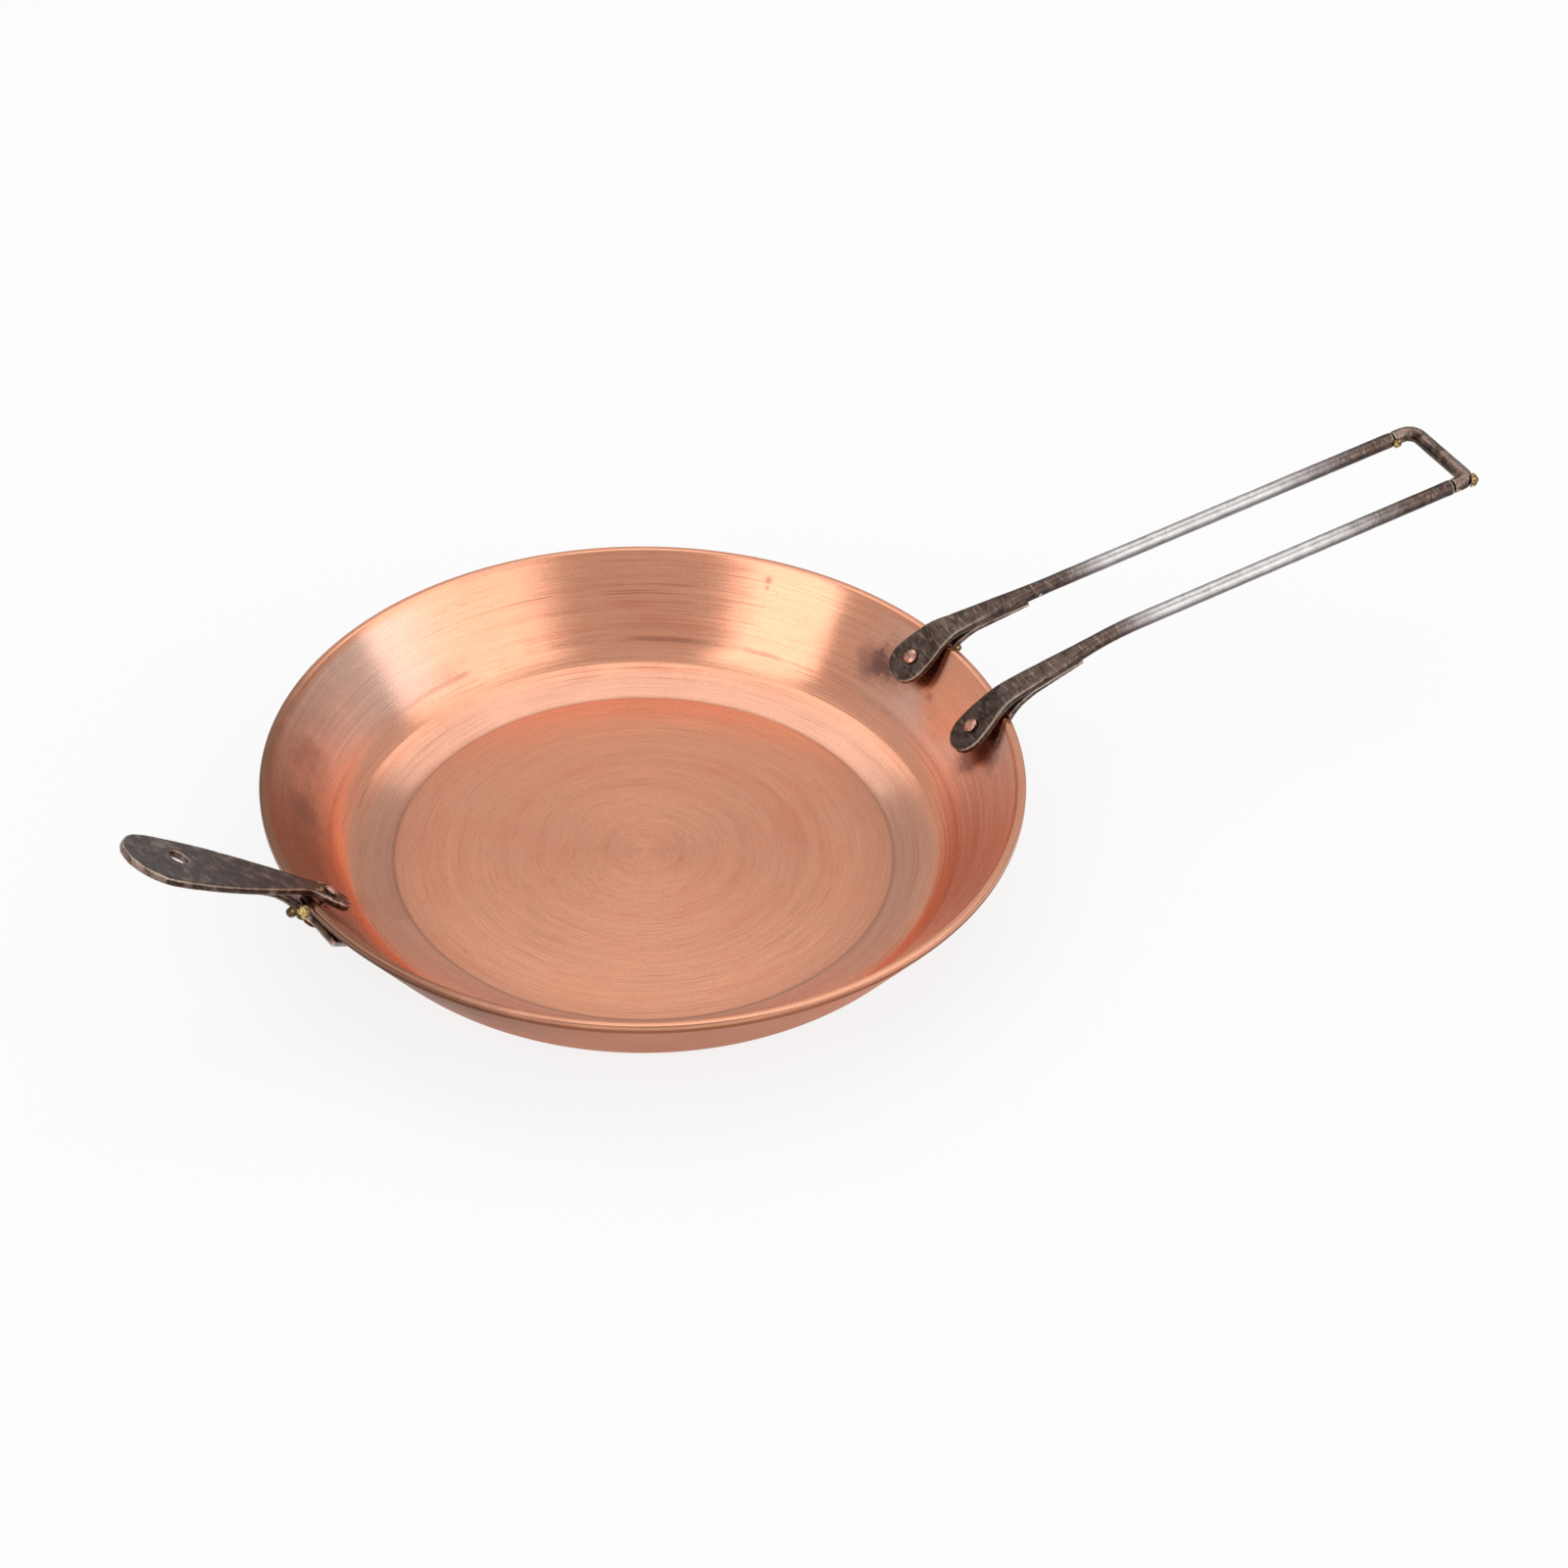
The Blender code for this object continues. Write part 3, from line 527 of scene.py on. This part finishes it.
def copper_shade(copper):
    """What the copper's colour is multiplied by: polishing grain and painted shade."""
    helper_side_shade = (copper.x + copper.ragged.swing(HELPER_WAVER)).between(*HELPER_SIDE)
    crease_line = abs(copper.radius - PAN_FLOOR).between(*CREASE_LINE)
    # Painted shade: each mask darkens the colour by its share.
    painted_shades = (
        (helper_side_shade * copper.z.between(*HELPER_RISE), 0.62),
        (crease_line * (1.0 - copper.outside), 0.24),
        (copper.foot, 0.16),
        (copper.radius.between(*BESIDE_CREASE) * (1.0 - copper.on_wall), 0.12),
        (copper.radius.between(*CUT_EDGE) * copper.z.between(*CUT_RISE), 0.3),
    )
    shade = 1.0 + copper.lines.swing(0.5) * copper.marked + copper.fine.swing(0.45)
    shade = shade + copper.grain.swing(0.3)
    for mask, share in painted_shades:
        shade = shade * (1.0 - mask * share)
    return shade


tint = copper.shade(tint, copper_shade(copper))
print("nodes with the shades", len(copper.tree.nodes))

# %% [markdown]
# ### Copper shine
# Marks that run round the pan spread a reflection across themselves. Bump alone would need marks as
# fine as the real ones, so the shader is anisotropic as well, turned a quarter so that light stretches
# up the wall. The pan's floor does this less than the wall. An export loses a strength that varies
# over the surface, so each shader has one strength, and two of them meet at the crease.

# %% Finish the copper
MARK_DEPTH = 0.00007
WALL_SPREAD = 0.85
FLOOR_SPREAD = 0.4
QUARTER_TURN = 0.25


def copper_finish(copper, tint, heat):
    """The pan's material, rougher where it was heated and on its outside."""
    height = copper.lines * 0.5 + copper.broad * 0.3 + copper.fine * 0.2
    normal = copper.bump(height * copper.marked, MARK_DEPTH)
    dull = heat * 0.2 + copper.outside * 0.15
    rough = 0.24 + copper.clouds.swing(0.2) + copper.lines.swing(0.2) + dull
    base, wall = (
        copper.surface(tint, rough, normal, {"Anisotropic": spread, "Anisotropic Rotation": QUARTER_TURN})
        for spread in (FLOOR_SPREAD, WALL_SPREAD))
    return copper.complete(copper.mix_shaders(base, wall, copper.on_wall))


copper_material = copper_finish(copper, tint, heat)
print("copper nodes", len(copper_material.node_tree.nodes))

# %% [markdown]
# ## The spun pan
# The body is sheet copper, pressed over a former as it spins. It could be cut from the CAD pan with
# bevels, but a spun body is one outline turned round the upright axis, so a finer outline is simpler.
# It has the CAD pan's sizes, and adds what a wheel leaves: eased rim edges and the crisp crease that
# is rolled in where the floor meets the wall.

# %% Work out the wall
SHEET = 0.002
CORNER_RADIUS = 0.017
# The rim's cut edge is upright for this height, and its corners are eased by small steps.
RIM_CUT = 0.0015
RIM_EASE = 0.0003
RIM_DROP = 0.00008
CUT_EASE = 0.0001
# The floor stops short of the crease, leaves it at a slope and joins the corner's arc at an angle.
CREASE_GAP = 0.00015
CREASE_SLOPE = 0.30
CREASE_BLEND = 0.62

run = RIM_RADIUS - PAN_FLOOR
rise = PAN_HEIGHT - RIM_CUT - CORNER_RADIUS
wall_angle = math.atan2(rise, run) + math.asin(CORNER_RADIUS / math.hypot(run, rise))
land = (SHEET - RIM_CUT * math.cos(wall_angle)) / math.sin(wall_angle)
print("wall", round(math.degrees(wall_angle), 1), "degrees, rim land", round(land * 1000.0, 2), "mm")


# %% Draw the outline
def arc(middle, radius, start, end, count):
    """Points of an arc in the (radius, height) plane."""
    angles = np.linspace(start, end, count)
    return [(middle[0] + radius * math.cos(a), middle[1] + radius * math.sin(a)) for a in angles]


def line(start, end, count):
    """Points between two places, without the first."""
    return [tuple(np.array(start) + (np.array(end) - start) * k / count) for k in range(1, count + 1)]


def blend(start, slope, end, end_slope, count):
    """A soft bend from one point and slope to another point and slope."""
    across, up = end[0] - start[0], end[1] - start[1]
    reach = (end_slope * across - up) / (end_slope - slope)
    bend = (start[0] + reach, start[1] + reach * slope)
    steps = [k / count for k in range(count + 1)]
    return [tuple((1 - t) ** 2 * start[axis] + 2 * t * (1 - t) * bend[axis] + t * t * end[axis]
                  for axis in (0, 1)) for t in steps]


def inner_outline():
    """The floor, the crease and the inner wall, up to the top of the rim."""
    foot = -math.pi / 2.0
    outline = [(0.0, SHEET)]
    outline += line((0.0, SHEET), (PAN_FLOOR - CREASE_GAP, SHEET), count=14)
    wall = arc((PAN_FLOOR, CORNER_RADIUS), CORNER_RADIUS - SHEET, foot + CREASE_BLEND,
               foot + wall_angle, count=14)
    outline += blend((PAN_FLOOR, SHEET), CREASE_SLOPE, wall[0], math.tan(CREASE_BLEND), count=12)
    outline += wall[1:]
    edge = RIM_RADIUS - land
    below = (edge - math.cos(wall_angle) * RIM_EASE, PAN_HEIGHT - math.sin(wall_angle) * RIM_EASE)
    outline += line(outline[-1], below, count=12)
    return outline + [(edge, PAN_HEIGHT - RIM_DROP), (edge + RIM_EASE, PAN_HEIGHT)]


def outer_outline(inner):
    """The rim, the outer wall and the underside, from the end of the inner outline to the axis."""
    foot = -math.pi / 2.0
    outline = line(inner[-1], (RIM_RADIUS - RIM_EASE, PAN_HEIGHT), count=2)
    corner = (RIM_RADIUS - RIM_EASE, PAN_HEIGHT - RIM_EASE)
    outline += arc(corner, RIM_EASE, math.pi / 2.0, 0.0, count=5)[1:]
    outline += line(outline[-1], (RIM_RADIUS, PAN_HEIGHT - RIM_CUT + CUT_EASE), count=2)
    outline.append((RIM_RADIUS - CUT_EASE / 2.0, PAN_HEIGHT - RIM_CUT - CUT_EASE))
    lowest = arc((PAN_FLOOR, CORNER_RADIUS), CORNER_RADIUS, foot + wall_angle, foot, count=18)
    outline += line(outline[-1], lowest[0], count=12)[:-1] + lowest
    return outline + line(lowest[-1], (0.0, 0.0), count=8)


inner = inner_outline()
pan_outline = inner + outer_outline(inner)
print("outline points", len(pan_outline))

# %% [markdown]
# A Screw modifier could turn this outline. It is turned in mesh code here, so that each of its ends
# closes on a single point on the axis.

# %% Turn the pan
TURN_STEPS = 200


def turned(name, outline, steps):
    """A closed body of revolution from an outline that starts and ends on the axis."""
    work = bmesh.new()
    rings = []
    for step in range(steps):
        angle = 2.0 * math.pi * step / steps
        spoke = Vector((math.cos(angle), math.sin(angle), 0.0))
        rings.append([work.verts.new(spoke * x + UP * z) for x, z in outline[1:-1]])
    start, end = (work.verts.new((0.0, 0.0, outline[index][1])) for index in (0, -1))
    for ring, after in zip(rings, rings[1:] + rings[:1]):
        work.faces.new((start, ring[0], after[0]))
        work.faces.new((end, after[-1], ring[-1]))
        for low in range(len(ring) - 1):
            work.faces.new((ring[low], ring[low + 1], after[low + 1], after[low]))
    bmesh.ops.recalc_face_normals(work, faces=work.faces)
    mesh = bpy.data.meshes.new(name)
    work.to_mesh(mesh)
    work.free()
    mesh.shade_smooth()
    piece = bpy.data.objects.new(name, mesh)
    scene.collection.objects.link(piece)
    return piece


pan = turned("pan_spun", pan_outline, TURN_STEPS)
print("pan faces", len(pan.data.polygons))

# %% [markdown]
# ## Rivet holes
# The three rivets pass through the wall, so the finer pan is drilled too. The holes could be knit into
# the mesh by hand, but a boolean with a round drill cuts a clean one at any angle. Each drill lies
# along its rivet, on the line along which the points of the CAD rivet are spread the most.

# %% Drill the rivet holes
RIVETS = ("rivet_left", "rivet_right", "rivet_helper")
HOLE_RADIUS = 0.0012
DRILL_LENGTH = 0.012
DRILL_SIDES = 24


def rivet_axis(node):
    """Middle and axis of a CAD rivet."""
    points = np.array([vertex.co for vertex in nodes[node].data.vertices])
    middle = points.mean(axis=0)
    spread = np.linalg.svd(points - middle)[2]
    return Vector(middle), Vector(spread[0])


def apply_modifiers(piece):
    """Make a piece's modifiers part of its mesh."""
    depsgraph = bpy.context.evaluated_depsgraph_get()
    mesh = bpy.data.meshes.new_from_object(piece.evaluated_get(depsgraph))
    piece.modifiers.clear()
    piece.data = mesh


def drill_hole(piece, middle, axis):
    """Cut a round hole through a piece along an axis."""
    work = bmesh.new()
    bmesh.ops.create_cone(work, cap_ends=True, segments=DRILL_SIDES, radius1=HOLE_RADIUS,
                          radius2=HOLE_RADIUS, depth=DRILL_LENGTH, matrix=pointed(middle, axis))
    mesh = bpy.data.meshes.new("drill")
    work.to_mesh(mesh)
    work.free()
    drill = bpy.data.objects.new("drill", mesh)
    scene.collection.objects.link(drill)
    cut = piece.modifiers.new("cut", "BOOLEAN")
    cut.object = drill
    cut.solver = "EXACT"
    apply_modifiers(piece)
    bpy.data.objects.remove(drill)


for node in RIVETS:
    drill_hole(pan, *rivet_axis(node))
print("drilled pan faces", len(pan.data.polygons))


# %% Put the copper on the pan
def coat(piece, material):
    """Give a piece one material."""
    piece.data.materials.clear()
    piece.data.materials.append(material)


coat(pan, copper_material)
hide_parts("pan_body")
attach(pan, "root")
print("pan", copper_material.name)

# %% [markdown]
# ## Forged iron
# The handle and the helper are forged black iron, worked with a hammer and a file. They could be
# sculpted by hand, but code makes the same dents on each run. A copy of each CAD piece is remeshed
# into small even faces, smoothed so that its edges get the softness of forging, and dented by noise.
# Smoothing draws a piece in and nearly all dents go inward, so the pan's overall size doesn't grow.

# %% Roughen the forged pieces
SMOOTHING = 0.5
FINER = 2.3
FINER_SHARE = 0.5
# How many times a piece is smoothed, how deep its dents are and how wide, in metres.
FINE_DENTS = {"rounds": 4, "depth": 0.00006, "width": 0.0021}
PLATE_DENTS = {"rounds": 4, "depth": 0.00009, "width": 0.0030}
# Each CAD node's new piece, the size of its faces in metres, and its dents.
FORGED = {
    "handle_rod_left": ("rod_left", 0.00026, FINE_DENTS),
    "handle_rod_right": ("rod_right", 0.00026, FINE_DENTS),
    "handle_end_bow": ("crossbar", 0.00022, FINE_DENTS),
    "outer_strap_left": ("strap_left", 0.00022, FINE_DENTS),
    "outer_strap_right": ("strap_right", 0.00022, FINE_DENTS),
    "helper_tab": ("helper", 0.00024, PLATE_DENTS),
    "helper_outer_strap": ("helper_strap", 0.00024, FINE_DENTS),
}


def dented(mesh, depth, width):
    """Push a mesh's points along their normals, by noise of two sizes."""
    places, normals = (np.empty(3 * len(mesh.vertices), np.float32) for _ in range(2))
    mesh.vertices.foreach_get("co", places)
    mesh.vertices.foreach_get("normal", normals)
    places, normals = places.reshape(-1, 3), normals.reshape(-1, 3)
    dents = [noise.noise(Vector(place) / width) + FINER_SHARE * noise.noise(Vector(place) / width * FINER)
             for place in places]
    places -= normals * (depth * (0.5 + 0.5 * np.array(dents, np.float32)))[:, None]
    mesh.vertices.foreach_set("co", places.ravel())
    mesh.update()


def forged(node, name, face, rounds, depth, width):
    """A finer copy of a CAD node with soft edges and hammer dents."""
    piece = bpy.data.objects.new(name, nodes[node].data.copy())
    scene.collection.objects.link(piece)
    remesh = piece.modifiers.new("remesh", "REMESH")
    remesh.mode = "VOXEL"
    remesh.voxel_size = face
    smooth = piece.modifiers.new("smooth", "SMOOTH")
    smooth.factor = SMOOTHING
    smooth.iterations = rounds
    apply_modifiers(piece)
    dented(piece.data, depth, width)
    piece.data.shade_smooth()
    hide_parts(node)
    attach(piece, "root")
    return piece


iron_pieces = {}
for node, (name, face, dents) in FORGED.items():
    iron_pieces[name] = forged(node, name, face, **dents)
    print(name, len(iron_pieces[name].data.polygons), "faces")

# %% [markdown]
# ### Iron colours
# Black iron is brown where it was heated, and bright where hands and files have rubbed it. Wear could
# be painted on, but on a fine mesh Pointiness tells edges from faces, so the worn metal is put there.
# Sides that face up towards the camera get a painted highlight: more of the brown, pale file
# strokes, and on the grip lit instead of shaded polish. Along the grip the rods are bright and smooth,
# and both their ends stay dark.

# %% Mix the iron
IRON_DARK = (0.048, 0.030, 0.025)
ROD_BROWN = (0.15, 0.10, 0.083)
TAB_BROWN = (0.34, 0.235, 0.195)
IRON_WORN = (0.66, 0.53, 0.43)
GRIP_LIT = (0.74, 0.71, 0.70)
GRIP_SHADED = (0.26, 0.22, 0.235)

HIGHLIGHT_SIDE = (-0.30, -0.52, 0.80)
HIGHLIGHT_FACING = (0.35, 0.98)
FILE_STRETCH = (1.0, 0.15, 0.4)
FILE_STROKES = (0.5, 0.7)
BROWN_PATCHES = (0.44, 0.86)
EDGE_POINTS = (0.515, 0.545)
EDGE_WAVER = 0.012
GRIP_START = (0.097, 0.112)
GRIP_END = (0.172, 0.142)
GRIP_HIGHLIGHT = (0.1, 0.75)
SCALE_DEPTH = 0.00012


def iron_finish(name, brown, edge_wear, bright_grip):
    """Black iron with worn edges, and with a bright grip or without."""
    iron = Metal(name)
    mottle = iron.noise(iron.place, scale=420.0, detail=5.0, rough=0.6, warp=0.3)
    filed = iron.vector_math("MULTIPLY", {0: iron.place, 1: FILE_STRETCH})
    strokes = iron.noise(filed, scale=2600.0, detail=3.0, rough=0.65, warp=0.2)
    # Painted highlight on sides that face up towards the camera.
    facing = {0: iron.geometry("Normal"), 1: HIGHLIGHT_SIDE}
    painted_highlight = iron.vector_math("DOT_PRODUCT", facing, "Value").between(*HIGHLIGHT_FACING)
    edge = (iron.geometry("Pointiness") + mottle.swing(EDGE_WAVER)).between(*EDGE_POINTS)
    tint = iron.layers(
        IRON_DARK,
        (brown, (mottle + painted_highlight * 0.22).between(*BROWN_PATCHES)),
        (IRON_WORN, strokes.between(*FILE_STROKES) * painted_highlight * 0.34),
        (IRON_WORN, edge * edge_wear),
    )
    rough = 0.36 + mottle.swing(0.3)
    height = mottle * 0.6 + strokes * 0.4
    if bright_grip:
        grip = iron.x.between(*GRIP_START) * iron.x.between(*GRIP_END)
        rubbed = (grip * (0.8 + mottle.swing(0.9))).math("MINIMUM", 1.0)
        # The polished grip in a lit and a shaded copy, mixed by the painted highlight.
        silver_painted_light = iron.mix(GRIP_SHADED, GRIP_LIT, painted_highlight.between(*GRIP_HIGHLIGHT))
        tint = iron.mix(tint, silver_painted_light, rubbed)
        rough = rough - rubbed * 0.1
        height = height * (1.0 - rubbed * 0.85)
    return iron.complete(iron.surface(tint, rough, iron.bump(height, SCALE_DEPTH)))


rod_iron = iron_finish("rod_iron", ROD_BROWN, edge_wear=0.7, bright_grip=True)
black_iron = iron_finish("black_iron", TAB_BROWN, edge_wear=0.8, bright_grip=False)
for name, piece in iron_pieces.items():
    coat(piece, rod_iron if name.startswith("rod") else black_iron)
    print(name, piece.data.materials[0].name)

# %% [markdown]
# ## Rivets and brazing
# The rivets are copper, set with a hammer, so their domes are a little flat and uneven. The brass was
# melted on in drops and stayed lumpy and partly dark. New shapes could be modelled for both, but the
# CAD ones are in the right places, so they get the same treatment as the iron, with finer faces. Both
# finishes are two colours that meet in ragged patches.

# %% Mix the rivets' copper and the brass
RIVET_LIGHT = (0.80, 0.44, 0.34)
RIVET_DARK = (0.38, 0.19, 0.14)
BRASS_LIGHT = (0.62, 0.43, 0.17)
BRASS_DARK = (0.10, 0.07, 0.04)


def patchy(name, light, dark, scale, patches, depth, rough):
    """A metal with light and dark patches. The dark ones stand higher."""
    metal = Metal(name)
    mottle = metal.noise(metal.place, scale, detail=3.0, rough=0.6)
    tint = metal.mix(light, dark, mottle.between(*patches))
    return metal.complete(metal.surface(tint, rough, metal.bump(mottle, depth)))


def rivet_finish():
    """Hammered copper."""
    return patchy("rivet_copper", RIVET_LIGHT, RIVET_DARK, scale=700.0, patches=(0.4, 0.65),
                  depth=0.0001, rough=0.3)


def brass_finish():
    """Brass that was melted on."""
    return patchy("brazing_brass", BRASS_LIGHT, BRASS_DARK, scale=800.0, patches=(0.44, 0.56),
                  depth=0.0002, rough=0.28)


rivet_copper = rivet_finish()
brass = brass_finish()
print(rivet_copper.name, brass.name)

# %% Set the rivets and the drops of brass
BRAZING = ("braze_end_left", "braze_end_right", "braze_strap_left", "braze_strap_right", "braze_helper")
RIVET_FACE = 0.00012
RIVET_DENTS = {"rounds": 4, "depth": 0.00008, "width": 0.0009}
DROP_FACE = 0.00010
DROP_DENTS = {"rounds": 6, "depth": 0.00022, "width": 0.0008}

for node in RIVETS:
    piece = forged(node, node + "_set", RIVET_FACE, **RIVET_DENTS)
    coat(piece, rivet_copper)
for node in BRAZING:
    piece = forged(node, node + "_drop", DROP_FACE, **DROP_DENTS)
    coat(piece, brass)
print("rivets", len(RIVETS), "brass drops", len(BRAZING))
